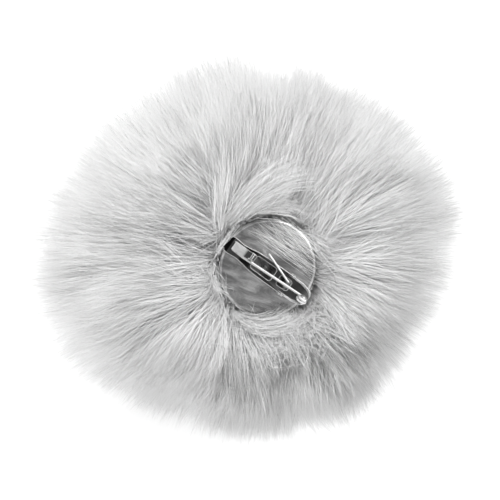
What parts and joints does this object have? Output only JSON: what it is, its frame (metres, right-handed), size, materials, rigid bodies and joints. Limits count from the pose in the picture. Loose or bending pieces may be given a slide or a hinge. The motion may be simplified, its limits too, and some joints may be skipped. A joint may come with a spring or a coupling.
{
  "type": "fur pompom brooch clip",
  "caption": "Long-pile faux-fur ball with a steel disc in its back that carries a sprung alligator clip and a hinged brooch needle.",
  "frame": {"origin": "on the surface the pompom rests on, face down, under the centre of its back disc", "axes": "+Z out of the back through the disc, +X along the clip from the needle's catch to its hinge, +Y to the side away from the catch's open edge"},
  "size_m": [0.122, 0.122, 0.0836],
  "materials": {
    "fur": "long-pile faux fur, pale silver grey",
    "backing": "warp-knitted backing",
    "stuffing": "polyester fibre filling",
    "thread": "twisted sewing thread",
    "glue": "hot-melt adhesive",
    "disc_steel": "nickel-plated steel, finely scratched",
    "clip_steel": "nickel-plated spring steel",
    "rivet_steel": "plated steel pin",
    "wire_steel": "bright drawn wire"
  },
  "bodies": {
    "back": {"fur_pile": "fur", "cover_backing": "backing", "stuffing_ball": "stuffing", "gathering_thread": "thread", "glue_pad": "glue", "disc_plate": "disc_steel", "clip_base": "clip_steel", "base_rivets": "rivet_steel", "pivot_pin": "rivet_steel", "spring_coil": "wire_steel"},
    "jaw": {"clip_lever": "clip_steel", "spring_arm": "wire_steel", "needle_rivet": "rivet_steel"},
    "pin": {"needle": "wire_steel"}
  },
  "joints": [
    {"name": "jaw_hinge", "type": "hinge", "parent": "back", "child": "jaw", "pos_m": [0.0066, -0.0008, 0.0757], "axis": [0, 1, 0], "range_deg": [0, 30], "stiffness_Nm_per_rad": 0.02, "springref_deg": -34.38},
    {"name": "needle_hinge", "type": "hinge", "parent": "jaw", "child": "pin", "pos_m": [0.0113, -0.00125, 0.08085], "axis": [-0.1178, 0.9022, 0.415], "range_deg": [0, 70]}
  ]
}
